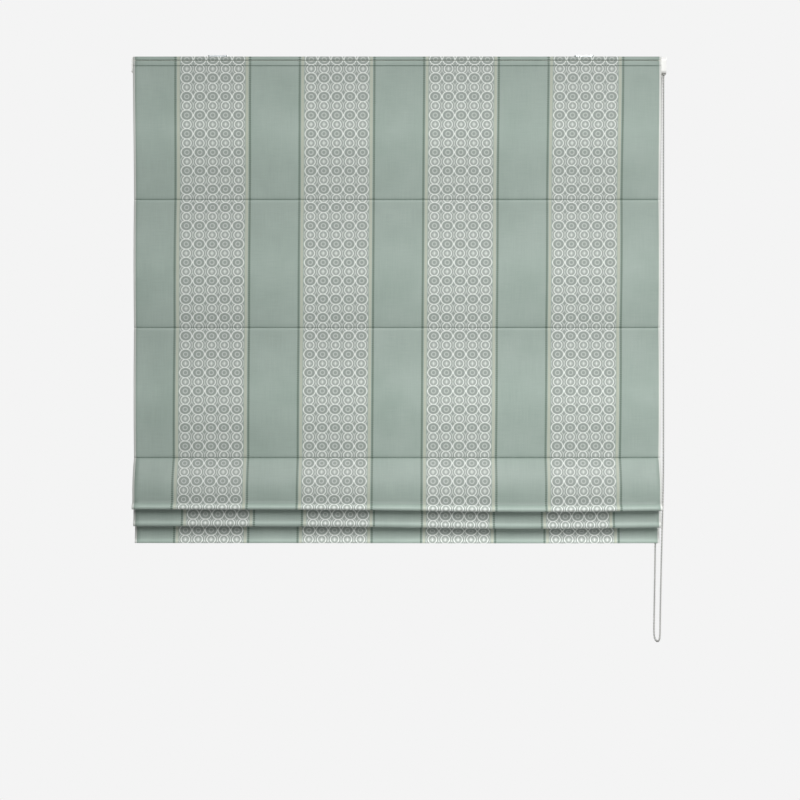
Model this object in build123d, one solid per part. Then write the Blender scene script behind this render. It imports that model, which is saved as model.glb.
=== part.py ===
from build123d import *
import os
from math import cos, pi, radians, sin, tan

os.makedirs("parts", exist_ok=True)

# A roman blind, hung from its headrail and drawn up a third of the way, in millimetres.
# +X is to the right as the room sees it, +Y is towards the window, and +Z is up.
# The origin is on the lintel, in the middle of the four screw holes of the two brackets.

# ---- driving dimensions ----
cloth_width = 1065.0
face_thick = 0.8
lining_thick = 0.5
ply_gap = 0.15  # between the face cloth and its lining
split_gap = 0.4  # between two lengths of cloth where they part at a rod

rail_length = 1066.0
rail_depth = 38.0
rail_top = -4.0
rail_bottom = -34.0
rail_wall = 1.2
rail_mouth = 26.0  # the opening between the two top lips

shaft_z = -20.0
shaft_side = 6.0
socket_side = 6.1  # the square hole that turns with the shaft
running_gap = 0.3

hook_tape_thick = 1.2
loop_tape_thick = 1.0
tape_top, tape_bottom = -7.0, -27.0

hanging_rods = [-291.0, -550.0, -813.0]  # the heights of the rods that hang on flat cloth
stack_pitch = 13.0  # between the rods that are gathered under the third one
gathered_rods = [hanging_rods[2] - stack_pitch, hanging_rods[2] - 2 * stack_pitch]
cloth_y = -8.4  # the middle of the face cloth where a rod holds it back
rod_y = -4.1
rod_radius = 2.0
rod_length = 1056.0
pocket_depth, pocket_height, pocket_wall = 5.8, 9.0, 0.5

lift_lines = [-450.0, -150.0, 150.0, 450.0]  # where the four lift cords hang
cord_y = 8.0
cord_radius = 0.7
ring_radius, ring_wire = 6.0, 1.0
ring_y = rod_y + pocket_depth / 2 + ring_radius + ring_wire + 0.1

drum_radius = 7.0
drum_half = 22.0
flange_radius, flange_thick = 10.5, 1.5
journal_radius = 5.0
cradle_half = 26.0
cradle_wall = 2.0

bead_diameter = 4.5
bead_pitch = 6.0
wheel_pockets = 12
wheel_pitch_radius = wheel_pockets * bead_pitch / (2 * pi)
wheel_x = 538.5
core_radius = 5.8

bracket_column = 370.0  # from the middle to each bracket's pair of screw holes
screw_spacing = 14.0
screw_hole_radius = 2.4
plate_thick = 1.5
pivot_offset = 15.0
pivot_y = 5.0
pivot_radius = 2.0

bar_height, bar_thick, bar_length = 26.0, 3.2, 1046.0
hem_bottom = -989.0

# The bead chain's route: down the front, round the loop, and up the back.
chain_top = -34.8
chain_route = [
    (538.5, -11.5, chain_top),
    (538.4, -11.8, -850.0),
    (536.6, -12.2, -925.0),
    (534.4, -12.9, -1005.0),
    (532.4, -13.8, -1090.0),
    (531.2, -14.5, -1150.0),
    (531.1, -14.7, -1177.0),
    (528.93, -6.09, -1185.9),
    (525.87, 6.08, -1185.9),
    (523.7, 14.7, -1177.0),
    (523.9, 14.5, -1150.0),
    (525.4, 13.8, -1060.0),
    (538.5, 11.5, chain_top),
]


def save(shape, node):
    export_step(shape, f"parts/{node}.step")


def block(x, y, z):
    """A box from three (low, high) pairs."""
    size = [high - low for low, high in (x, y, z)]
    middle = [(low + high) / 2 for low, high in (x, y, z)]
    return Pos(*middle) * Box(*size)


def along_x(profile, x_low, x_high):
    """A solid of a (y, z) profile, drawn along X."""
    return extrude(Plane.YZ.offset(x_low) * profile, amount=x_high - x_low)


def round_bar(radius, x_low, x_high, y=0.0, z=shaft_z):
    """A round bar that lies along X."""
    return along_x(Pos(y, z) * Circle(radius), x_low, x_high)


def square_bar(side, x_low, x_high):
    """A square bar on the drive shaft's axis."""
    return along_x(Pos(0, shaft_z) * Rectangle(side, side), x_low, x_high)


def standing(radius, x, y, z_low, z_high):
    """A round pin that stands along Z."""
    return Pos(x, y, (z_low + z_high) / 2) * Cylinder(radius, z_high - z_low)


def beside(points, radii, gap):
    """The filleted path that runs beside another at an even gap, on its window side where it goes down."""
    way = [Vector(y, z) for y, z in points]
    legs = [(b - a).normalized() for a, b in zip(way, way[1:])]
    out = [Vector(-leg.Y, leg.X) for leg in legs]
    moved = [way[0] + out[0] * gap]
    bends = []
    for i, radius in enumerate(radii):
        mitre = (out[i] + out[i + 1]).normalized()
        moved.append(way[i + 1] + mitre * (gap / mitre.dot(out[i])))
        turns_out = legs[i].cross(legs[i + 1]).Z > 0
        bends.append(radius - gap if turns_out else radius + gap)
    moved.append(way[-1] + out[-1] * gap)
    return [(p.X, p.Y) for p in moved], bends


def cloth(points, radii, gap, thick, width=cloth_width):
    """A sheet that follows a (y, z) path at a gap to its window side."""
    sides = []
    for offset in (gap - thick / 2, gap + thick / 2):
        edge, bends = beside(points, radii, offset)
        sides.append(FilletPolyline(*edge, radius=bends))
    ends = [Line(sides[0] @ t, sides[1] @ t) for t in (0, 1)]
    return along_x(make_face([*sides, *ends]), -width / 2, width / 2)


# ---- headrail: an aluminium channel, open at the top, with a hole for each cord eyelet ----
half_depth = rail_depth / 2
eyelet_radius = 3.0
channel = block((-rail_length / 2, rail_length / 2), (-half_depth, half_depth), (rail_bottom, rail_top))
hollow = block(
    (-rail_length, rail_length),
    (-half_depth + rail_wall, half_depth - rail_wall),
    (rail_bottom + rail_wall, rail_top - rail_wall),
)
mouth = block((-rail_length, rail_length), (-rail_mouth / 2, rail_mouth / 2), (rail_top - 2, rail_top + 1))
headrail = channel - hollow - mouth
for x in lift_lines:
    headrail -= standing(eyelet_radius + 0.2, x, cord_y, rail_bottom - 1, rail_bottom + 3)
save(headrail, "headrail")

# ---- left end cap: a moulded plate with a plug that fits the channel ----
plug_clear = 0.3
cap_face = Pos(0, (rail_top + rail_bottom) / 2) * RectangleRounded(rail_depth, rail_top - rail_bottom, 3)
plug_face = Pos(0, (rail_top + rail_bottom) / 2) * Rectangle(
    rail_depth - 2 * (rail_wall + plug_clear), rail_top - rail_bottom - 2 * (rail_wall + plug_clear)
)
bush_radius = 7.0
cap = along_x(cap_face, -rail_length / 2 - 3, -rail_length / 2)
cap += along_x(plug_face, -rail_length / 2, -rail_length / 2 + 16)
cap -= round_bar(bush_radius, -rail_length / 2 - 1, -rail_length / 2 + 17)
save(cap, "left_end_cap")

# ---- shaft bush: the plain bearing in the left end cap ----
bush = round_bar(bush_radius, -rail_length / 2 - 1, -rail_length / 2 + 15)
bush -= round_bar(shaft_side / 2 * 2**0.5 + 0.1, -rail_length / 2 + 1, -rail_length / 2 + 16)
save(bush, "shaft_bush")

# ---- chain drive: a casing with a fixed hub, its cover, the plug in the rail and the brake spring ----
casing_inner, casing_outer = 534.8, 542.2
rail_end = rail_length / 2
casing_middle = -20.75
casing_outline = Pos(0, casing_middle) * RectangleRounded(35, 33.5, 7)
cavity_radius = 14.6
hub_bore = core_radius + running_gap
hub_outer = 8.0
hub_start = 507.0
casing = along_x(casing_outline, rail_end, casing_outer)
casing -= round_bar(cavity_radius, casing_inner, casing_outer + 1)
casing -= block((casing_inner, casing_outer + 1), (-cavity_radius, cavity_radius), (-45, shaft_z))
casing += block((rail_end, casing_outer), (-7.5, 7.5), (-37.5, -34.3))
casing += round_bar(hub_outer, hub_start, casing_inner)
casing -= round_bar(hub_bore, hub_start - 1, casing_inner + 1)
save(casing, "chain_drive_casing")
cover = along_x(casing_outline, casing_outer, casing_outer + 1.4)
cover += round_bar(9, casing_outer + 1.4, casing_outer + 2.0)
save(cover, "chain_drive_cover")

plug_start, plug_bore = 503.0, 11.0
rail_plug = along_x(plug_face, plug_start, rail_end) - round_bar(plug_bore, plug_start - 1, rail_end + 1)
save(rail_plug, "drive_rail_plug")

spring_turns, spring_wire = 10, 1.3
spring_start = 510.0
spring_inner = hub_outer + 0.05
spring_length = spring_turns * spring_wire
with BuildSketch(Plane.XY) as spring_section:
    with Locations((spring_start + spring_length / 2, spring_inner + 0.5)):
        Rectangle(spring_length, 1.0)
    with Locations([(spring_start + (i + 0.5) * spring_wire, spring_inner + 1.0) for i in range(spring_turns)]):
        Circle(spring_wire / 2 - 0.01)
spring_axis = Axis((0, 0, 0), (1, 0, 0))
spring = Pos(0, 0, shaft_z) * revolve(spring_section.sketch, spring_axis, 360)
for x in (spring_start + spring_wire / 2, spring_start + spring_length - spring_wire / 2):
    spring += standing(0.6, x, 0, shaft_z + spring_inner + 0.6, shaft_z + plug_bore - 0.2)
save(spring, "brake_spring")

# ---- drive shaft, clutch core, chain wheel and the part of the chain that lies on it ----
shaft_left, shaft_right = -rail_length / 2 + 2, 520.0
save(square_bar(shaft_side, shaft_left, shaft_right), "drive_shaft")
core = round_bar(core_radius, hub_start - 2, casing_outer - 0.4)
core += round_bar(hub_outer, hub_start - 2, hub_start - 0.4)
core -= square_bar(socket_side, hub_start - 3, shaft_right + 1)
save(core, "clutch_core")

wheel_half, track_half = 3.3, 2.4
wheel = round_bar(13.0, wheel_x - wheel_half, wheel_x + wheel_half)
wheel -= round_bar(14.0, wheel_x - track_half, wheel_x + track_half) - round_bar(
    10.6, wheel_x - track_half, wheel_x + track_half
)
wheel -= round_bar(core_radius, wheel_x - 5, wheel_x + 5)


def on_wheel(step):
    """The place of a bead on the chain wheel, counted in beads from the front strand."""
    turn = 2 * pi * step / wheel_pockets
    return Pos(wheel_x, -wheel_pitch_radius * cos(turn), shaft_z + wheel_pitch_radius * sin(turn))


for step in range(wheel_pockets):
    wheel -= on_wheel(step) * Sphere(bead_diameter / 2 + 0.1)
save(wheel, "chain_wheel")

thread_radius = 0.6
ring_band = round_bar(wheel_pitch_radius + thread_radius, wheel_x - thread_radius, wheel_x + thread_radius)
ring_band -= round_bar(wheel_pitch_radius - thread_radius, wheel_x - 2, wheel_x + 2)
wrap = ring_band & block((wheel_x - 5, wheel_x + 5), (-20, 20), (shaft_z, 0))
for step in range(wheel_pockets // 2 + 1):
    wrap += on_wheel(step) * Sphere(bead_diameter / 2)
save(wrap, "chain_on_wheel")

# ---- cord spools, the cord wound on them, and the cradles that carry them ----
winding_turns = 10
winding_pitch = 2 * cord_radius
windings = Part()
for number, x in enumerate(lift_lines, start=1):
    spool = round_bar(drum_radius, x - drum_half, x + drum_half)
    spool += round_bar(journal_radius, x - cradle_half - 1, x + cradle_half + 1)
    for edge in (x - drum_half, x + drum_half - flange_thick):
        spool += round_bar(flange_radius, edge, edge + flange_thick)
    spool -= square_bar(socket_side, x - cradle_half - 2, x + cradle_half + 2)
    save(spool, f"cord_spool_{number}")

    floor_top = rail_bottom + rail_wall + plug_clear + 1.5
    cradle = block((x - cradle_half, x + cradle_half), (-15, 15), (floor_top - 1.5, floor_top))
    for low in (x - cradle_half, x + cradle_half - cradle_wall):
        cradle += block((low, low + cradle_wall), (-15, 15), (floor_top, -8))
    for y in (-16.5, 15.0):
        cradle += block((x - cradle_half, x + cradle_half), (y, y + 1.5), (floor_top - 1.5, -24))
    cradle += standing(eyelet_radius, x, cord_y, rail_bottom - 1.2, floor_top)
    cradle -= standing(cord_radius + 1.0, x, cord_y, rail_bottom - 3, floor_top + 1)
    cradle -= round_bar(journal_radius + running_gap, x - cradle_half - 1, x + cradle_half + 1)
    save(cradle, f"spool_cradle_{number}")

    with BuildSketch(Plane.XY) as winding_section:
        start = x + 2 * cord_radius
        with Locations((start + winding_turns * winding_pitch / 2, drum_radius + cord_radius / 2)):
            Rectangle(winding_turns * winding_pitch, cord_radius)
        with Locations(
            [(start + (i + 0.5) * winding_pitch, drum_radius + cord_radius) for i in range(winding_turns)]
        ):
            Circle(cord_radius - 0.01)
    windings += Pos(0, 0, shaft_z) * revolve(winding_section.sketch, spring_axis, 360)
save(windings, "wound_cord")

# ---- brackets: a steel plate with a fixed hook, and a lever that locks the back lip ----
lip_under = rail_top - rail_wall
hook_gap = 0.2
for side, column in (("left", -bracket_column), ("right", bracket_column)):
    pivot_x = column + pivot_offset
    plate = block((column - 12, column + 27), (-17, 16), (-plate_thick, 0))
    plate = fillet(plate.edges().filter_by(Axis.Z), 3)
    hook_low = lip_under - hook_gap - plate_thick
    plate += block((column - 9, column + 24), (-12.4, -12.4 + plate_thick), (hook_low, -plate_thick))
    plate += block((column - 9, column + 24), (-17, -12.4), (hook_low, lip_under - hook_gap))
    plate += block((column - 9, column + 24), (-17, -14), (rail_top + 0.2, -plate_thick))
    for y in (-screw_spacing / 2, screw_spacing / 2):
        plate -= standing(screw_hole_radius, column, y, -3, 1)
    plate -= standing(pivot_radius, pivot_x, pivot_y, -3, 1)
    save(plate, f"bracket_{side}")

    tab_top, tab_bottom, hub_bottom = -2.2, -3.4, -7.2
    lever = standing(5.0, pivot_x, pivot_y, hub_bottom, tab_top)
    tab = Pos(12, 0) * SlotOverall(26, 8)
    lever += extrude(Pos(pivot_x, pivot_y, tab_bottom) * Rot(0, 0, 130) * tab, tab_top - tab_bottom)
    nose = Pos(5.5, 0) * RectangleRounded(12, 8, 2)
    lever += extrude(Pos(pivot_x, pivot_y, hub_bottom) * Rot(0, 0, 90) * nose, 1.2)
    lever -= standing(pivot_radius + 0.06, pivot_x, pivot_y, -9, 0)
    save(lever, f"bracket_lever_{side}")

    rivet = standing(pivot_radius, pivot_x, pivot_y, hub_bottom - 0.2, 0)
    rivet += standing(3.6, pivot_x, pivot_y, hub_bottom - 1.2, hub_bottom - 0.2)
    save(rivet, f"bracket_rivet_{side}")

# ---- hook tape on the rail and loop tape on the cloth ----
tape_half = cloth_width / 2 - 2
tape_back = -half_depth
save(block((-tape_half, tape_half), (tape_back - hook_tape_thick, tape_back), (tape_bottom, tape_top)), "hook_tape")
loop_back = tape_back - hook_tape_thick
save(block((-tape_half, tape_half), (loop_back - loop_tape_thick, loop_back), (tape_bottom, tape_top)), "loop_tape")

# ---- cloth: the flat panels between the rods, each with its lining ----
lining_gap = face_thick / 2 + ply_gap + lining_thick / 2
head_y = loop_back - loop_tape_thick - lining_thick - face_thick / 2 - ply_gap
panel_paths = [
    [(head_y, rail_top - 0.2), (head_y, -60), (head_y + 3.5, -170), (-12.6, -258)],
    [None, (-14.0, hanging_rods[0] - 26), (-17.6, -385), (-17.6, -465), (-14.0, hanging_rods[1] + 26)],
    [None, (-14.0, hanging_rods[1] - 26), (-17.6, -645), (-17.6, -725), (-14.0, hanging_rods[2] + 26)],
]
for number, (path, foot) in enumerate(zip(panel_paths, hanging_rods), start=1):
    if number > 1:
        path[0] = (cloth_y, hanging_rods[number - 2] - split_gap / 2)
    path = path + [(cloth_y, foot + split_gap / 2)]
    radii = [150.0] * (len(path) - 2)
    save(cloth(path, radii, 0, face_thick), f"face_panel_{number}")
    save(cloth(path, radii, lining_gap, lining_thick), f"lining_panel_{number}")

# ---- cloth: two hanging folds and the hem, gathered under the third rod ----
fold_top = hanging_rods[2] - split_gap / 2
turn_4, turn_5 = gathered_rods[0] - 3, gathered_rods[1] - 3
fold_path = [
    (cloth_y, fold_top, None),
    (-29.0, -836.0, 14),
    (-36.0, -872.0, 60),
    (-36.5, -919.6, 5.4),
    (-25.2, -919.6, 5.4),
    (-24.6, -852.0, 20),
    (-15.5, -832.0, 14),
    (-14.1, turn_4, 2.7),
    (cloth_y, turn_4, 2.7),
    (-8.6, -833.5, 4),
    (-17.6, -843.5, 6),
    (-20.4, -880.0, 60),
    (-20.4, -953.6, 3.9),
    (-12.2, -953.6, 3.9),
    (-12.6, -880.0, 100),
    (-14.1, turn_5, 2.7),
    (cloth_y, turn_5, 2.7),
    (-7.0, -870.0, 60),
    (0.6, -945.0, 60),
    (1.2, hem_bottom + face_thick / 2, 2.8),
    (7.1, hem_bottom + face_thick / 2, 2.8),
    (7.1, -948.0, None),
]
path = [(y, z) for y, z, _ in fold_path]
radii = [radius for *_, radius in fold_path[1:-1]]
save(cloth(path, radii, 0, face_thick), "face_folds")
lining_path = path[:18] + [(0.6, -945.0)]
save(cloth(lining_path, radii[:17], lining_gap, lining_thick), "lining_folds")

# ---- rods in their pockets, with the rings that the lift cords run through ----
pocket_outer = RectangleRounded(pocket_depth, pocket_height, 2.4)
pocket_inner = RectangleRounded(pocket_depth - 2 * pocket_wall, pocket_height - 2 * pocket_wall, 1.9)
for number, z in enumerate(hanging_rods + gathered_rods, start=1):
    save(round_bar(rod_radius, -rod_length / 2, rod_length / 2, rod_y, z), f"rod_{number}")
    sleeve = Pos(rod_y, z) * (pocket_outer - pocket_inner)
    save(along_x(sleeve, -cloth_width / 2 + 2, cloth_width / 2 - 2), f"rod_pocket_{number}")
    rings = Part() + [Pos(x, ring_y, z) * Torus(ring_radius, ring_wire) for x in lift_lines]
    save(rings, f"cord_rings_{number}")

# ---- bottom bar in the hem, and its end caps ----
bar_y = (1.2 + 7.1) / 2
bar_low = hem_bottom + 3.2
bar = block(
    (-bar_length / 2, bar_length / 2),
    (bar_y - bar_thick / 2, bar_y + bar_thick / 2),
    (bar_low, bar_low + bar_height),
)
save(fillet(bar.edges().filter_by(Axis.X), 1.0), "bottom_bar")
caps = Part()
for low in (-bar_length / 2 - 3, bar_length / 2):
    cap = block((low, low + 3), (bar_y - 2, bar_y + 2), (bar_low - 0.4, bar_low + bar_height + 0.4))
    caps += fillet(cap.edges().filter_by(Axis.X), 1.2)
save(caps, "bottom_bar_caps")

# ---- cord adjusters under the lowest rings, and the four lift cords ----
adjuster_top = gathered_rods[1] - ring_wire - 1.0
adjuster_length = 15.0
adjusters = Part()
cords = Part()
for x in lift_lines:
    orb = standing(4.3, x, cord_y, adjuster_top - adjuster_length, adjuster_top)
    orb = fillet(orb.edges(), 1.8)
    orb -= standing(cord_radius + running_gap, x, cord_y, adjuster_top - adjuster_length + 2, adjuster_top + 1)
    adjusters += orb
    cords += standing(cord_radius, x, cord_y, adjuster_top - adjuster_length + 3, shaft_z)
save(adjusters, "cord_adjusters")
save(cords, "lift_cords")

# ---- bead chain: its plain outer tube, and the connector that joins its ends ----
corners = [Vector(*p) for p in chain_route]
bends = []
for before, corner, after in zip(corners, corners[1:], corners[2:]):
    shorter = min((corner - before).length, (after - corner).length)
    turn = radians((corner - before).get_angle(after - corner))
    bends.append(0.45 * shorter / tan(turn / 2))
print("chain bend radii", [round(bend, 1) for bend in bends])
chain_line = FilletPolyline(*corners, radius=bends)
start_plane = Plane(origin=chain_line @ 0, z_dir=chain_line % 0)
chain = sweep(start_plane * Circle(bead_diameter / 2), path=chain_line)
print("chain length", round(chain_line.length, 1))
print("chain volume ratio", round(chain.volume / (pi * bead_diameter**2 / 4 * chain_line.length), 4))
save(chain, "pull_chain")
rear_top, rear_foot = corners[-1], corners[-2]
rear_way = (rear_foot - rear_top).normalized()
connector_radius, connector_length = 3.3, 15.0
joint_plane = Plane(origin=rear_top + rear_way * 500, z_dir=rear_way)
sleeve = joint_plane * Cylinder(connector_radius, connector_length)
sleeve -= joint_plane * Cylinder(bead_diameter / 2 + 0.05, connector_length + 1)
save(sleeve, "chain_connector")
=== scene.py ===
from math import cos, exp, pi, radians, sin

import bmesh
import bpy
from mathutils import Matrix, Vector, noise


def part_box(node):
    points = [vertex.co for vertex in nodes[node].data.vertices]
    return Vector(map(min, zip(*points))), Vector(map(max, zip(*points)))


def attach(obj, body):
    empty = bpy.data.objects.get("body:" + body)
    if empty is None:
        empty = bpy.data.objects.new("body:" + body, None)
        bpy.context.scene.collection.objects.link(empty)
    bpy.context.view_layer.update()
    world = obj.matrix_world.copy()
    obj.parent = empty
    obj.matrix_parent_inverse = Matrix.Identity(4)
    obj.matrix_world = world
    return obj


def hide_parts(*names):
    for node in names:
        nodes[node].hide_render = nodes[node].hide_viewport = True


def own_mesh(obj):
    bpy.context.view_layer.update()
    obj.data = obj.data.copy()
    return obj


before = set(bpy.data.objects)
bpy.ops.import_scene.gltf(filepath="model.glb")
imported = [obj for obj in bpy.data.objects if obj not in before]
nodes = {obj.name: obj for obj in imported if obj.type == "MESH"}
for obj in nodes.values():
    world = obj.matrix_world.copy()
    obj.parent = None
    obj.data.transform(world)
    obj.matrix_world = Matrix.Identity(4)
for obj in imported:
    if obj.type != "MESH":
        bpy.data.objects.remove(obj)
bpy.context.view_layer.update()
scene = bpy.context.scene

# ---- Camera ----
# It stands three metres into the room, seven tenths of a metre below the headrail, and looks straight at the
# cloth. Colours are shown as they are, with no film look.
scene.view_settings.view_transform = "Standard"
camera = bpy.data.objects.new("camera", bpy.data.cameras.new("camera"))
camera.data.sensor_width = 36.0
camera.data.lens = 66.5
camera.location = (0.0057, -3.0, -0.6962)
camera.rotation_euler = (radians(90), 0, 0)
scene.collection.objects.link(camera)
scene.camera = camera

# ---- Bead chain ----
# An endless chain of white acetal beads moulded on a polyester thread. It leaves the casing at the front,
# hangs to a loose loop below the hem, and goes back up to the casing behind; a clear connector joins its ends.
MM = 0.001
bead_diameter = 4.5 * MM
bead_pitch = 6.0 * MM
thread_radius = 0.75 * MM
chain_route = [
    (0.5385, -0.0115, -0.0348),
    (0.5385, -0.0115, -0.062),
    (0.5384, -0.0118, -0.775),
    (0.5384, -0.0118, -0.850),
    (0.5366, -0.0122, -0.925),
    (0.5344, -0.0129, -1.005),
    (0.5324, -0.0138, -1.090),
    (0.5312, -0.0145, -1.150),
    (0.5311, -0.0147, -1.177),
    (0.52893, -0.00609, -1.1859),
    (0.52587, 0.00608, -1.1859),
    (0.5237, 0.0147, -1.177),
    (0.5239, 0.0145, -1.150),
    (0.5254, 0.0138, -1.060),
    (0.52655, 0.0136, -0.970),
    (0.53815, 0.01156, -0.062),
    (0.5385, 0.0115, -0.0348),
]


def linear(hex_colour):
    """The linear colour of an sRGB hex value."""
    parts = [int(hex_colour[i : i + 2], 16) / 255 for i in (1, 3, 5)]
    return [p / 12.92 if p <= 0.04045 else ((p + 0.055) / 1.055) ** 2.4 for p in parts] + [1.0]


def add(tree, kind, inputs=None, **settings):
    """Adds a shader node with its settings. An input takes a value, a socket, or a node's first output."""
    made = tree.nodes.new("ShaderNode" + kind)
    for name, value in settings.items():
        setattr(made, name, value)
    for socket, value in (inputs or {}).items():
        if isinstance(value, bpy.types.Node):
            value = value.outputs[0]
        if isinstance(value, bpy.types.NodeSocket):
            tree.links.new(value, made.inputs[socket])
        else:
            made.inputs[socket].default_value = value
    return made


def finish_with(name, dark, light, grain, relief, roughness, stretch=(1, 1, 1), **skin):
    """A finish that wanders between two tones, with a grain and a relief in millimetres."""
    material = bpy.data.materials.new(name)
    material.use_nodes = True
    tree = material.node_tree
    tree.nodes.clear()
    place = add(tree, "Mapping", {"Vector": add(tree, "TexCoord").outputs["Object"], "Scale": stretch})
    spots = add(tree, "TexNoise", {"Vector": place, "Scale": 1000 / grain, "Detail": 4.0})
    colour = add(tree, "Mix", {0: spots, 6: linear(dark), 7: linear(light)}, data_type="RGBA")
    gloss_change = 0.06
    rough = add(
        tree, "MapRange",
        {0: spots, 3: max(roughness - gloss_change, 0.02), 4: roughness + gloss_change},
    )
    bump = add(tree, "Bump", {"Height": spots, "Distance": relief * MM, "Strength": 0.6})
    shader = add(
        tree, "BsdfPrincipled",
        {"Base Color": colour.outputs[2], "Roughness": rough, "Normal": bump, **skin},
    )
    add(tree, "OutputMaterial", {"Surface": shader})
    return material


def show(name, bm, material, body):
    """Turns a bmesh into a smooth piece of that finish that rides on a body."""
    mesh = bpy.data.meshes.new(name)
    bm.to_mesh(mesh)
    bm.free()
    for polygon in mesh.polygons:
        polygon.use_smooth = True
    mesh.materials.append(material)
    piece = bpy.data.objects.new(name, mesh)
    scene.collection.objects.link(piece)
    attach(piece, body)
    return piece


def line_mesh(points, order, bevel=0.0, bevel_steps=2):
    """The mesh of a smooth NURBS line with these control points: a bare line, or a thin tube."""
    curve = bpy.data.curves.new("line", "CURVE")
    curve.dimensions = "3D"
    curve.resolution_u = 16
    curve.bevel_depth = bevel
    curve.bevel_resolution = bevel_steps
    spline = curve.splines.new("NURBS")
    spline.points.add(len(points) - 1)
    for point, at in zip(spline.points, points):
        point.co = (*at, 1.0)
    spline.order_u = order
    spline.use_endpoint_u = True
    holder = bpy.data.objects.new("line", curve)
    scene.collection.objects.link(holder)
    mesh = bpy.data.meshes.new_from_object(holder)
    bpy.data.objects.remove(holder)
    bpy.data.curves.remove(curve)
    return mesh


def line_points(points, order):
    """The points of that smooth line, in order."""
    return [v.co.copy() for v in line_mesh(points, order).vertices]


# Acetal: slightly waxy, so a soft wide gleam on each bead. The white beads are coloured grey as painted shade.
painted_shade_beads = finish_with("acetal_moulded_beads", "#A9A9A6", "#BFBFBB", 2.0, 0.02, 0.3, IOR=1.48)
# Twisted polyester thread: dull, and coloured near black as painted shade in the gaps between the beads.
chain_thread_painted_shade = finish_with("twisted_polyester_thread", "#232426", "#303235", 0.8, 0.05, 0.8)
chain_line = line_points(chain_route, 3)
bm = bmesh.new()
bm.from_mesh(line_mesh(chain_route, 3, thread_radius, 1))
for thread_face in bm.faces:
    thread_face.material_index = 1
one_bead = bmesh.new()
bmesh.ops.create_uvsphere(one_bead, u_segments=8, v_segments=6, radius=bead_diameter / 2)
# The bead's facets are put in a fixed order, so that every run makes the same mesh.
one_bead.verts.index_update()
one_bead.faces.sort(key=lambda facet: sum(1 << corner.index for corner in facet.verts))
bead = bpy.data.meshes.new("bead")
one_bead.to_mesh(bead)
one_bead.free()
bead_at = Vector()
travelled, next_bead = 0.0, bead_pitch / 2
for start, end in zip(chain_line, chain_line[1:]):
    run = (end - start).length
    while next_bead <= travelled + run:
        middle = start.lerp(end, (next_bead - travelled) / run)
        bead.transform(Matrix.Translation(middle - bead_at))
        bm.from_mesh(bead)
        bead_at = middle
        next_bead += bead_pitch
    travelled += run
bead_chain = show("bead_chain", bm, painted_shade_beads, "headrail")
bead_chain.data.materials.append(chain_thread_painted_shade)
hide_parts("pull_chain")

# ---- Headrail, brackets, drive and spools ----
# A white enamelled aluminium channel with moulded ends. It holds the square shaft with a spool for each cord,
# and clips up into two zinc-plated steel brackets with swivel levers. The chain wheel turns the shaft.
hardware = {
    # Polyester enamel, sprayed and stoved: even, half gloss, with a faint orange peel.
    finish_with("white_stoved_enamel", "#EAEAE7", "#F2F2EF", 1.2, 0.03, 0.32, IOR=1.5): ["headrail"],
    # Moulded ABS: a soft gloss with a fine spark-eroded grain.
    finish_with("white_moulded_abs", "#E6E6E3", "#EFEFEC", 0.5, 0.03, 0.42, IOR=1.53): [
        "left_end_cap",
        "chain_drive_casing",
        "chain_drive_cover",
        "drive_rail_plug",
        "bottom_bar_caps",
    ],
    # Natural acetal: milky, waxy and low in friction.
    finish_with("natural_acetal", "#DEDCD2", "#E8E6DD", 3.0, 0.02, 0.35, IOR=1.48): [
        "shaft_bush",
        "clutch_core",
        "chain_wheel",
        *(f"cord_spool_{n}" for n in range(1, 5)),
        *(f"spool_cradle_{n}" for n in range(1, 5)),
    ],
    # Zinc-plated steel: a cool bright metal with a cloudy passivated skin.
    finish_with("zinc_plated_steel", "#A9ADB0", "#C9CCCE", 4.0, 0.02, 0.34, Metallic=1.0): [
        "brake_spring",
        "drive_shaft",
        "bracket_left",
        "bracket_right",
        "bracket_lever_left",
        "bracket_lever_right",
        "bracket_rivet_left",
        "bracket_rivet_right",
    ],
    # Woven nylon hook and loop tape: matt, with a fuzzy pile about half a millimetre apart.
    finish_with("nylon_hook_and_loop", "#D5D4CF", "#EFEEEA", 0.5, 0.4, 0.85): ["hook_tape", "loop_tape"],
    # Clear polycarbonate: hard and glossy, a little cloudy at the gate.
    finish_with(
        "clear_moulded_polycarbonate", "#E9EEF0", "#F4F7F8", 5.0, 0.01, 0.12, IOR=1.58,
        **{"Transmission Weight": 0.75},
    ): ["chain_connector", "cord_adjusters"] + [f"cord_rings_{n}" for n in range(1, 6)],
    # Extruded aluminium, left bare: fine die lines along its length.
    finish_with(
        "extruded_aluminium", "#B4B6B8", "#CDCFD0", 1.0, 0.02, 0.36, stretch=(0.02, 1, 1), Metallic=1.0
    ): ["bottom_bar"],
    # Pultruded glass fibre: greenish resin with long pale fibres.
    finish_with(
        "pultruded_glass_fibre", "#C6CDB9", "#E3E6D6", 1.0, 0.03, 0.4, stretch=(0.02, 1, 1), IOR=1.55
    ): [f"rod_{n}" for n in range(1, 6)],
    painted_shade_beads: ["chain_on_wheel"],
}
for material, names in hardware.items():
    for name in names:
        mesh = nodes[name].data
        mesh.materials.clear()
        mesh.materials.append(material)

# ---- Lift cords ----
# Four thin braided polyester cords. Each winds on its spool, runs down through the rings behind the lining,
# and ends in the adjuster under the lowest ring. Pulled up, they wind on, so the hanging length shortens.
lift_lines = [-0.45, -0.15, 0.15, 0.45]
cord_radius, cord_y = 0.7 * MM, 8.0 * MM
cord_low, cord_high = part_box("lift_cords")
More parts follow.
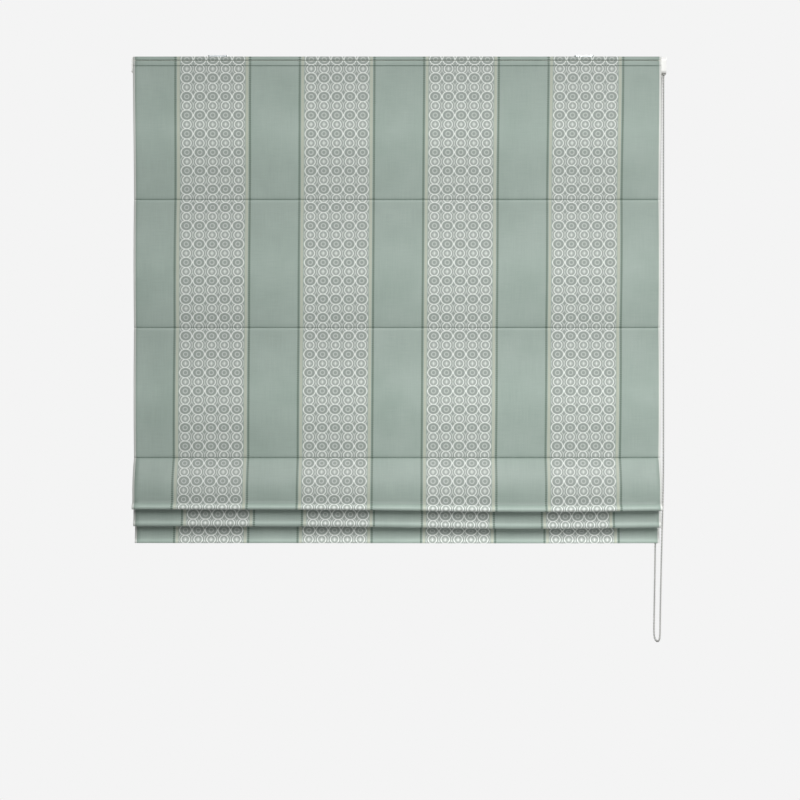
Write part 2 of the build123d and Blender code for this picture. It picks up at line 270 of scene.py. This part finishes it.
# Braided polyester: matt white with a fine plait about one millimetre long.
braided_cord = finish_with(
    "braided_polyester_cord", "#C9C8C2", "#F1F0EB", 0.8, 0.25, 0.7, stretch=(1, 1, 0.5)
)
nodes["wound_cord"].data.materials.clear()
nodes["wound_cord"].data.materials.append(braided_cord)
bm = bmesh.new()
for x in lift_lines:
    middle = Vector((x, cord_y, (cord_low.z + cord_high.z) / 2))
    bmesh.ops.create_cone(
        bm,
        cap_ends=True,
        segments=10,
        radius1=cord_radius,
        radius2=cord_radius,
        depth=cord_high.z - cord_low.z,
        matrix=Matrix.Translation(middle),
    )
lift_cords = show("braided_lift_cords", bm, braided_cord, "headrail")
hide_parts("lift_cords")
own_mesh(lift_cords)

# ---- Face cloth ----
# A woven cotton and polyester in sage green, with four stripes of cream rings between dotted borders. It
# hangs from the head tape, is stitched back to a rod at each crease, and drops in two folds to a weighted hem.
# The sizes of cloth and pattern are in millimetres.
cloth_width = 1065.0
face_thick = 0.8
crease_y = -8.4
head_y = -22.3
rod_heights = [-291.0, -550.0, -813.0]
head_top, head_foot = -4.2, -23.1
stripe_repeat, stripe_offset = 250.6, 125.3
motif_half, band_centre, band_half, ladder_centre = 65.2, 69.3, 2.7, 75.4
motif_pitch, motif_rise, first_row = 26.1, 37.1, 6.0
large_wide, small_wide = 11.9, 8.7
hatch_cell, rung_gap = 1.6, 2.1
rim_highlight_from = 528.4

# Cotton and polyester jacquard: matt, a little cloudy, with a faint sheen. Its pattern is laid out on the
# flat cloth, by the distance across and down the bolt.
face = bpy.data.materials.new("woven_sage_jacquard")
face.use_nodes = True
tree = face.node_tree
tree.nodes.clear()
flat = add(tree, "UVMap", uv_map="bolt")
bolt_place = add(tree, "SeparateXYZ", {0: flat})
bolt_across, bolt_down = bolt_place.outputs["X"], bolt_place.outputs["Y"]
from_stripe = add(tree, "Math", {0: bolt_across, 1: stripe_offset}, operation="SUBTRACT")
across = add(
    tree, "Math", {0: from_stripe, 1: stripe_repeat / 2, 2: -stripe_repeat / 2}, operation="WRAP"
)
off_centre = add(tree, "Math", {0: across}, operation="ABSOLUTE")
in_motif = add(tree, "Math", {0: off_centre, 1: motif_half}, operation="LESS_THAN")
in_band = add(tree, "Math", {0: off_centre, 1: band_centre, 2: band_half}, operation="COMPARE")
spot = add(tree, "CombineXYZ", {0: across, 1: bolt_down})
cell_high = (motif_pitch / 2, motif_rise / 2, 1.0)
cell_low = tuple(-n for n in cell_high)
rings = {}
for kind, column, row in (
    ("large", 0.0, first_row),
    ("small", 0.0, first_row + motif_rise / 2),
    ("between", motif_pitch / 2, first_row),
):
    moved = add(tree, "VectorMath", {0: spot, 1: (column, row, 0.0)}, operation="SUBTRACT")
    rings[kind] = add(tree, "VectorMath", {0: moved, 1: cell_high, 2: cell_low}, operation="WRAP")
# Each ring: which cell it is in, its half width and half height, its stroke, its strength, and its form. The
# faint wide ring stops where the large rings begin. A stroke wider than its ring fills it, as in the dot that
# joins each large ring to the next and in the heart of each small one.
strokes = [
    ("large", large_wide, 10.3, 1.7, 1.0, "round"),
    ("large", 4.4, 4.3, 1.5, 0.55, "round"),
    ("between", 0.8, 1.0, 1.8, 0.75, "round"),
    ("small", small_wide, 8.3, 1.8, 1.0, "round"),
    ("small", 3.5, 4.1, 1.3, 0.5, "pointed"),
    ("small", 0.7, 1.3, 1.8, 0.95, "pointed"),
    ("small", 13.0, 12.2, 1.4, 0.6, "faint"),
]
ink = 0.0
edges = {}
for kind, half_wide, half_high, stroke, strength, form in strokes:
    scale = (1 / half_wide, 1 / half_high, 0.0)
    line_half = stroke / (half_wide + half_high)
    if form == "pointed":
        mirrored = add(tree, "VectorMath", {0: rings[kind]}, operation="ABSOLUTE")
        pointed = add(tree, "VectorMath", {0: mirrored, 1: scale}, operation="DOT_PRODUCT")
        reach = pointed.outputs["Value"]
        # a pointed ring has slanting sides, which cut its stroke short
        line_half *= 2**0.5
    else:
        scaled = add(tree, "VectorMath", {0: rings[kind], 1: scale}, operation="MULTIPLY")
        reach = add(tree, "VectorMath", {0: scaled}, operation="LENGTH").outputs["Value"]
    edges[kind, half_wide] = reach
    line = add(tree, "Math", {0: reach, 1: 1.0, 2: line_half}, operation="COMPARE")
    if form == "faint":
        clear = add(tree, "Math", {0: edges["large", large_wide], 1: 1.0}, operation="GREATER_THAN")
        line = add(tree, "Math", {0: line, 1: clear}, operation="MULTIPLY")
    strong = add(tree, "Math", {0: line, 1: strength}, operation="MULTIPLY")
    ink = add(tree, "Math", {0: ink, 1: strong}, operation="MAXIMUM")
# Between the rings the ground is hatched with darker crossing threads about three millimetres apart, and it
# is a little darker inside the large rings.
past_large = add(tree, "Math", {0: edges["large", large_wide], 1: 1.05}, operation="GREATER_THAN")
past_small = add(tree, "Math", {0: edges["small", small_wide], 1: 1.08}, operation="GREATER_THAN")
outside = add(tree, "Math", {0: past_large, 1: past_small}, operation="MULTIPLY")
slanted = add(tree, "Mapping", {"Vector": spot, "Rotation": (0, 0, pi / 4)})
hatch = add(tree, "TexChecker", {"Vector": slanted, "Scale": 1 / hatch_cell}).outputs[1]
hatch_shade = add(tree, "MapRange", {0: hatch, 3: 0.1, 4: 0.5})
inside = add(tree, "Math", {0: edges["large", large_wide], 1: 1.0}, operation="LESS_THAN")
shade_outside = add(tree, "Math", {0: outside, 1: hatch_shade}, operation="MULTIPLY")
shade_inside = add(tree, "Math", {0: inside, 1: 0.4}, operation="MULTIPLY")
shade = add(tree, "Math", {0: shade_outside, 1: shade_inside}, operation="MAXIMUM")
# The borders are ladders of thread, with a rung every four millimetres.
dash = add(tree, "Math", {0: bolt_down, 1: rung_gap, 2: 0.0}, operation="PINGPONG")
dotted = add(tree, "MapRange", {0: dash, 1: 0.4, 2: 2.2, 3: 0.45, 4: 1.0})
rung = add(tree, "MapRange", {0: dash, 1: 0.8, 2: 1.8, 3: 1.5, 4: 2.5})
in_ladder = add(tree, "Math", {0: off_centre, 1: ladder_centre, 2: rung}, operation="COMPARE")
# Yarn slubs: warp and weft threads that vary in tone over a few centimetres.
slubs = []
for scale in ((0.5, 0.02, 1.0), (0.03, 0.6, 1.0)):
    run = add(tree, "Mapping", {"Vector": flat, "Scale": scale})
    slubs.append(add(tree, "TexNoise", {"Vector": run, "Scale": 1.0, "Detail": 3.0}))
yarn = add(tree, "Math", {0: slubs[0], 1: slubs[1]}, operation="ADD")
cloudy = add(tree, "TexNoise", {"Vector": flat, "Scale": 0.012, "Detail": 2.0})
# At each side a narrow pale strip is painted along the turned edge: a painted highlight where the edge catches
# the light.
side_place = add(tree, "SeparateXYZ", {0: add(tree, "TexCoord").outputs["Object"]})
side_off = add(tree, "Math", {0: side_place}, operation="ABSOLUTE")
side = add(tree, "Math", {0: side_off, 1: rim_highlight_from * MM}, operation="GREATER_THAN")
# The yarns: sage for the plain cloth, a greyer ground and cream rings in each stripe, then the pale band, the
# dark green ladder and the painted highlight of the side edges over them.
ground = add(tree, "Mix", {0: shade, 6: linear("#A4ACA6"), 7: linear("#818C85")}, data_type="RGBA")
cloth_colour = add(tree, "Mix", {0: cloudy, 6: linear("#90A197"), 7: linear("#A7B5AD")}, data_type="RGBA")
motif = add(tree, "Mix", {0: ink, 6: ground.outputs[2], 7: linear("#E8EDE8")}, data_type="RGBA")
band_dots = add(tree, "MapRange", {0: dotted, 1: 0.35, 2: 1.0, 3: 0.7, 4: 1.0})
band_on = add(tree, "Math", {0: in_band, 1: band_dots}, operation="MULTIPLY")
ladder_on = add(tree, "Math", {0: in_ladder, 1: dotted}, operation="MULTIPLY")
for share, over in (
    (in_motif, motif.outputs[2]),
    (band_on, linear("#BBC0B0")),
    (ladder_on, linear("#4C6153")),
    (side, linear("#ECEFEA")),
):
    under = cloth_colour.outputs[2]
    cloth_colour = add(tree, "Mix", {0: share, 6: under, 7: over}, data_type="RGBA")
# Painted shading down the cloth: painted shade along the head band, beside every stitched crease and in the
# shadows under the folds, and painted highlights across the middle of each panel and on the lips of the folds.
# Each pair is a drop down the bolt in millimetres and the tone there.
brightest, bolt_end = 1.3, 1500.0
share_down = add(tree, "Math", {0: bolt_down, 1: bolt_end}, operation="DIVIDE")
painted_shading_ramp = add(tree, "ValToRGB", {0: share_down})
painted_shading_ramp.color_ramp.interpolation = "LINEAR"
stops = painted_shading_ramp.color_ramp.elements
stops[-1].position = 1.0
for down, tone in (
    (0, 0.96), (16.5, 0.97), (18.9, 0.80), (21.5, 0.92), (145, 1.12), (225, 0.97), (284, 0.94),
    (293, 0.90), (416, 1.05), (530, 0.95), (552, 0.90), (672, 1.06), (760, 0.95), (804, 0.96),
    (814, 0.90), (893, 0.88), (902, 0.73), (908, 1.10), (914, 1.19), (918, 0.70), (1105, 0.92),
    (1113, 1.08), (1125, 0.86), (1131, 0.76), (1136, 1.05), (1140, 1.30), (1143, 0.70), (1376, 1.15),
    (1386, 0.86), (1393, 0.82), (1400, 1.30),
):
    stop = stops[0] if down == 0 else stops.new(down / bolt_end)
    stop.color = (tone / brightest, tone / brightest, tone / brightest, 1.0)
stops[-1].color = (1 / brightest, 1 / brightest, 1 / brightest, 1.0)
painted_shading_tone = add(tree, "Math", {0: painted_shading_ramp, 1: brightest}, operation="MULTIPLY")
# Painted side light: the cloth is painted darker towards its left-hand side and lighter towards its right,
# more so near the hem.
painted_light_across = add(tree, "MapRange", {0: side_place, 1: -0.5, 2: 0.1, 3: 0.0, 4: 1.0})
least = add(tree, "MapRange", {0: bolt_down, 1: 0.0, 2: 800.0, 3: 0.82, 4: 0.765})
most = add(tree, "MapRange", {0: bolt_down, 1: 0.0, 2: 800.0, 3: 0.90, 4: 0.97})
painted_side_light = add(tree, "MapRange", {0: painted_light_across, 3: least, 4: most})
yarn_tone = add(tree, "MapRange", {0: yarn, 1: 0.7, 2: 1.3, 3: 0.955, 4: 1.045})
# The painted shading and the painted side light, multiplied together.
painted_light_and_shade_tone = add(tree, "Math", {0: painted_shading_tone, 1: painted_side_light}, operation="MULTIPLY")
tone = add(tree, "Math", {0: yarn_tone, 1: painted_light_and_shade_tone}, operation="MULTIPLY")
toned = add(tree, "VectorMath", {0: cloth_colour.outputs[2], 3: tone}, operation="SCALE")
# A plain weave of about 20 threads to the centimetre: half a millimetre over and half a millimetre under. The
# motif yarns lie on top.
waves = []
for along_thread in (bolt_across, bolt_down):
    turns = add(tree, "Math", {0: along_thread, 1: 2 * pi}, operation="MULTIPLY")
    waves.append(add(tree, "Math", {0: turns}, operation="SINE"))
over_under = add(tree, "Math", {0: waves[0], 1: waves[1]}, operation="MULTIPLY")
raised = add(tree, "Math", {0: ink, 1: in_motif}, operation="MULTIPLY")
height = add(tree, "Math", {0: raised, 1: 1.5, 2: over_under}, operation="MULTIPLY_ADD")
bump = add(tree, "Bump", {"Height": height, "Distance": 0.08 * MM, "Strength": 0.35})
shader = add(tree, "BsdfPrincipled", {
    "Base Color": toned, "Normal": bump, "Roughness": 0.5, "Specular IOR Level": 0.4,
    "Sheen Weight": 0.06, "Sheen Roughness": 0.4,
})
add(tree, "OutputMaterial", {"Surface": shader})


def sag(x):
    """How far the fold lips droop at x, most on the right where the cords are a little slack."""
    slack_at, slack_spread, slack_deep, tilt = 255, 260, 4.2, 1.6
    return slack_deep * exp(-(((x - slack_at) / slack_spread) ** 2)) + tilt * (x / cloth_width + 0.5)


def ripple(x, z):
    """The slight waver of hung cloth, in millimetres, forward or back."""
    deep, wide, high, cut = 0.8, 150, 330, 3.7
    return deep * noise.noise(Vector((x / wide, z / high, cut)))


def hang(
    name, width, columns, rows, place, thick, material, body,
    closed=False,
):
    """A sheet from a flat grid. place(x, share down) gives its y, z and place on the bolt, in millimetres."""
    bm = bmesh.new()
    bolt = bm.loops.layers.uv.new("bolt")
    bmesh.ops.create_grid(bm, x_segments=columns, y_segments=rows, size=0.5)
    on_bolt = {}
    for vert in bm.verts:
        x, share = vert.co.x * width, 0.5 - vert.co.y
        y, z, u, v = place(x, share)
        on_bolt[vert] = (u, v)
        vert.co = Vector((x, y, z)) * MM
    for corner in (loop for grid_face in bm.faces for loop in grid_face.loops):
        corner[bolt].uv = on_bolt[corner.vert]
    if closed:
        bmesh.ops.remove_doubles(bm, verts=bm.verts[:], dist=0.01 * MM)
    piece = show(name, bm, material, body)
    solid = piece.modifiers.new("thickness", "SOLIDIFY")
    solid.thickness = thick * MM
    solid.offset = 0
    return piece


def side_turn(x):
    """How far the turned side edges curl back."""
    curl, curl_from = 0.012, 526
    return curl * max(abs(x) - curl_from, 0) ** 2


def on_grain(x, z):
    """Where x falls across the bolt: the stripes run off plumb by 0.6 millimetres in every hundred."""
    off_middle, off_plumb = 4.5, 0.0064
    return x - off_middle + off_plumb * (head_top - z)


def crowded(share):
    """A share that packs the grid's rows close together at both ends."""
    return 0.5 - 0.5 * cos(pi * share)


def panel_y(z, top, foot, top_y, belly, pinch_top, tuck_deep):
    """The cloth between two creases: a shallow belly with a sharp tuck where it is stitched to a rod."""
    share = (top - z) / (top - foot)
    tuck_reach = 1.5
    tuck = tuck_deep * (1 - exp(-(z - foot) / tuck_reach))
    if pinch_top:
        tuck *= 1 - exp(-(top - z) / tuck_reach)
    ease = share * share * (3 - 2 * share)
    return top_y + (crease_y - top_y) * ease - tuck - belly * 4 * share * (1 - share)


lining_thick, lining_gap = 0.5, 0.15
lining_back = face_thick / 2 + lining_gap + lining_thick / 2
# Each panel: its number and body, its top and foot, where its top hangs, how far it bellies, whether its top
# is stitched too, the joint that gathers it, the height that it gathers to, and the share of its drop left.
panels = [
    (1, "headrail", head_foot, rod_heights[0], head_y + 2.0, 0.0, False, "upper_rod_rise", head_foot, 0.152),
    (2, "upper_rod", rod_heights[0], rod_heights[1], crease_y, 5.0, True, "middle_rod_rise", -291.2, 0.0855),
    (3, "middle_rod", rod_heights[1], rod_heights[2], crease_y, 5.0, True, "blind_lift", -550.2, 0.099),
]
# Ivory sateen lining: a soft even weave with a dull gleam.
lining = finish_with(
    "ivory_sateen_lining", "#E3DFD2", "#ECE9DE", 1.6, 0.12, 0.62, stretch=(1, 1, 0.25),
    **{"Sheen Weight": 0.1},
)
# Two rows of stitches hold the head tape, the second at its foot, and each dents the cloth.
head_length = 18.9
head_rows = (7.6, head_length)
row_dents, row_spread = (1.5, 0.9), 0.9


def head_place(x, share, back=0.0):
    """The band of cloth over the head tape. Its lining, set back from it, lies flat."""
    z = head_top + (head_foot - head_top) * share
    dent = 0.0
    for row, deep in zip(head_rows, row_dents):
        dent += deep * exp(-(((head_top - z) - row) / row_spread) ** 2)
    return head_y + dent * (back == 0) + back + side_turn(x), z, on_grain(x, z), head_top - z


head_band = hang(
    "face_head_band", cloth_width, 90, 60, head_place, face_thick, face, "headrail",
)
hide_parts("face_panel_1")
head_lining = hang(
    "lining_head_band", cloth_width, 60, 8, lambda x, share: head_place(x, share, lining_back), lining_thick,
    lining, "headrail",
)
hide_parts("lining_panel_1")
for number, body, top, foot, top_y, belly, pinch, joint, anchor, keep in panels:

    def panel_place(x, share, back=0.0, tuck_deep=2.0):
        """The panel's cloth. Its ripple dies away in the last two centimetres at its top and foot."""
        z = top + (foot - top) * crowded(share)
        y = panel_y(z, top, foot, top_y, belly, pinch, tuck_deep) + back + side_turn(x)
        fade_over = 20
        fade = min((z - foot) / fade_over, (top - z) / fade_over, 1.0)
        return y + ripple(x, z) * fade, z, on_grain(x, z), head_top - z

    def lining_place(x, share):
        """The lining behind it, hardly tucked."""
        return panel_place(x, share, lining_back, 0.4)

    cloth = hang(
        f"face_cloth_{number}", cloth_width, 110, 72, panel_place, face_thick, face, body,
    )
    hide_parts(f"face_panel_{number}")
    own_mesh(cloth)
    back_cloth = hang(
        f"lining_cloth_{number}", cloth_width, 110, 72, lining_place, lining_thick, lining, body,
    )
    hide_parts(f"lining_panel_{number}")
    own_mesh(back_cloth)

# ---- Folds and hem ----
# Below the third rod the rest of the cloth is gathered: it drops in a long fold and a shorter one, each
# stitched back to its rod, and ends in a turned hem that holds the flat bottom bar. The route is its profile
# from the side, y and z in millimetres.
fold_route = [
    (-8.4, -813.2), (-10.6, -813.8), (-15.0, -822.0), (-22.0, -840.0), (-28.0, -860.0), (-30.0, -878.0),
    (-28.8, -894.0), (-29.4, -903.0), (-37.6, -908.0), (-38.2, -915.0), (-29.0, -916.2), (-25.4, -908.0),
    (-25.0, -885.0), (-24.6, -852.0), (-15.5, -832.0), (-14.1, -829.0), (-8.4, -829.0), (-8.6, -833.5),
    (-17.6, -843.5), (-18.6, -870.0), (-16.2, -925.0), (-17.0, -937.0), (-20.6, -943.5), (-20.4, -950.6),
    (-13.5, -951.0), (-12.2, -943.0), (-12.6, -880.0), (-14.1, -842.0), (-8.4, -842.0), (-7.6, -852.0),
    (-7.0, -870.0), (-0.6, -935.0), (1.2, -962.0), (-0.4, -975.0), (-2.8, -986.2), (6.6, -986.9),
    (7.1, -980.0), (7.1, -948.0),
]
fold_line = [(p.y, p.z) for p in line_points([(0, y, z) for y, z in fold_route], 3)]
fold_start = head_top - fold_route[0][1]


def measured(line):
    """The running length at each point of a profile."""
    runs = [0.0]
    for (y0, z0), (y1, z1) in zip(line, line[1:]):
        runs.append(runs[-1] + ((y1 - y0) ** 2 + (z1 - z0) ** 2) ** 0.5)
    return runs


def along(line, runs, share, back):
    """A point a share of the way along a profile, set back from it to its window side."""
    target = share * runs[-1]
    index = next((i for i, run in enumerate(runs[1:]) if run >= target), len(runs) - 2)
    span = max(runs[index + 1] - runs[index], 1e-6)
    part = (target - runs[index]) / span
    (y0, z0), (y1, z1) = line[index], line[index + 1]
    return (
        y0 + (y1 - y0) * part - (z1 - z0) / span * back,
        z0 + (z1 - z0) * part + (y1 - y0) / span * back,
        target,
    )


def eased_in(value, start, run):
    """From 0 at the start to 1 one run later, and no further."""
    return min(max((value - start) / run, 0.0), 1.0)


def fold_cloth(name, line, back, thick, material):
    """One length of folded cloth. Its lips droop, its hem hardly, and one fold is gathered in width."""
    runs = measured(line)
    gathered_about, gathered_share = 86, 0.966

    def place(x, share):
        y, z, down = along(line, runs, share, back)
        low = eased_in(-z, 850, 65)
        hem = eased_in(-z, 955, 10)
        z -= sag(x) * low * (1 - 0.9 * hem)
        y += ripple(x, z + 300) * low + side_turn(x)
        gathered = eased_in(down, 140, 60) * eased_in(-down, -440, 60)
        u = x + gathered * ((x - gathered_about) / gathered_share + gathered_about - x)
        return y, z, on_grain(u, z), fold_start + down

    return hang(
        name, cloth_width, 80, 330, place, thick, material, "stack"
    )


folds = fold_cloth("face_fold_cloth", fold_line, 0.0, face_thick, face)
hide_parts("face_folds")
# The lining ends inside the hem, above the bar.
lining_end = next(i for i, (y, z) in enumerate(fold_line) if z < -935 and y > -3)
fold_lining = fold_cloth(
    "lining_fold_cloth", fold_line[:lining_end], lining_back, lining_thick, lining
)
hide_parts("lining_folds")

# ---- Rod pockets, ring tacks and stitching ----
# Each rod slides into a narrow sleeve of lining cloth, and its rings are tacked to the sleeve with a few
# turns of thread. A row of green thread goes through face and lining at each crease above the folds, and two
# rows hold the head tape.
bodies_of_rods = ["upper_rod", "middle_rod", "stack", "stack", "stack"]
rod_y = -4.1
sleeve_deep, sleeve_high, sleeve_around = 2.65, 4.2, 22
tack_behind = 3.4
tack_size = Matrix.Diagonal((0.0003, 0.0009, 0.0014, 1.0))
# Spun polyester thread: matt, and darker than the cloth.
thread = finish_with("spun_polyester_thread", "#4F6358", "#5F7468", 0.4, 0.1, 0.8)
for number, body in enumerate(bodies_of_rods, start=1):
    low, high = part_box(f"rod_{number}")
    rod_z = (low.z + high.z) / 2 / MM

    def sleeve_place(x, share):
        """Round the rod, a little puckered."""
        turn = 2 * pi * share
        pucker = 0.12 * noise.noise(Vector((x / 6, number, cos(turn))))
        y = rod_y - (sleeve_deep + pucker) * cos(turn)
        return y, rod_z + (sleeve_high + pucker) * sin(turn), x, sleeve_around * share

    sleeve = hang(
        f"rod_sleeve_{number}", cloth_width - 4, 160, 20, sleeve_place, lining_thick, lining, body,
        closed=True,
    )
    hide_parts(f"rod_pocket_{number}")

    bm = bmesh.new()
    for x in lift_lines:
        for step in (-1.6, 0.0, 1.6):
            tack = Matrix.Translation(Vector((x + step * MM, (rod_y + tack_behind) * MM, rod_z * MM)))
            bmesh.ops.create_icosphere(bm, subdivisions=1, radius=1.0, matrix=tack @ tack_size)
    show(f"ring_tacks_{number}", bm, braided_cord, body)


def stitch_row(name, y, z, body):
    """A row of lockstitch across the cloth."""
    pitch, length, thick = 3.0, 2.3 * MM, 0.42 * MM
    half_row = int((cloth_width / 2 - 7) / pitch)
    bm = bmesh.new()
    for step in range(-half_row, half_row + 1):
        turned = Matrix.Translation(Vector((step * pitch, y, z)) * MM) @ Matrix.Rotation(pi / 2, 4, "Y")
        bmesh.ops.create_cone(
            bm, cap_ends=True, segments=6, radius1=thick, radius2=thick, depth=length, matrix=turned
        )
    return show(name, bm, thread, body)


for number, drop in enumerate(head_rows, start=1):
    stitch_row(f"head_stitches_{number}", head_y - 0.35, head_top - drop, "headrail")
for number, (z, body) in enumerate(zip(rod_heights, bodies_of_rods), start=1):
    stitch_row(f"rod_stitches_{number}", crease_y - 0.8, z, body)

# ---- Studio ----
# A wide pale floor under the blind, a high soft light in front, a softbox low on the right that lifts the
# fold lips, one behind for the lining side, and a pale surround.
floor_mesh = bpy.data.meshes.new("studio_floor")
bm = bmesh.new()
bmesh.ops.create_circle(bm, cap_ends=True, segments=96, radius=1.8, matrix=Matrix.Translation((0, 0, -2.2)))
bm.to_mesh(floor_mesh)
bm.free()
# Matt painted board: even and almost white.
floor_mesh.materials.append(finish_with(
    "matt_white_board", "#EEEEEE", "#F4F4F4", 40.0, 0.01, 0.9,
    **{"Emission Color": linear("#F4F4F4"), "Emission Strength": 0.15},
))
floor = bpy.data.objects.new("studio_floor", floor_mesh)
scene.collection.objects.link(floor)

aim = Vector((0.0, 0.0, -0.5))
for name, kind, size, power, stands_at in (
    ("high_window", "SUN", radians(35), 2.97, (0.7, -3.6, 2.1)),
    ("side_softbox", "AREA", 1.6, 10.0, (2.1, -2.1, -0.45)),
    ("rear_softbox", "AREA", 2.0, 80.0, (0.6, 3.0, 0.8)),
):
    lamp = bpy.data.lights.new(name, kind)
    if kind == "SUN":
        lamp.angle = size
    else:
        lamp.size = size
    lamp.energy = power
    holder = bpy.data.objects.new(name, lamp)
    holder.location = stands_at
    holder.rotation_euler = (aim - Vector(stands_at)).to_track_quat("-Z", "Y").to_euler()
    scene.collection.objects.link(holder)

world = bpy.data.worlds.new("pale_surround")
world.use_nodes = True
tree = world.node_tree
tree.nodes.clear()
# The surround is bright to look at, dimmer in reflections, and lights the blind only faintly.
ray = add(tree, "LightPath")
seen = add(tree, "Math", {0: ray.outputs["Is Camera Ray"], 1: 0.86, 2: 0.14}, operation="MULTIPLY_ADD")
lit = add(tree, "Math", {0: ray.outputs["Is Glossy Ray"], 1: 0.4, 2: seen}, operation="MULTIPLY_ADD")
surround = add(tree, "Background", {"Color": linear("#F4F4F4"), "Strength": lit})
add(tree, "OutputWorld", {"Surface": surround})
scene.world = world
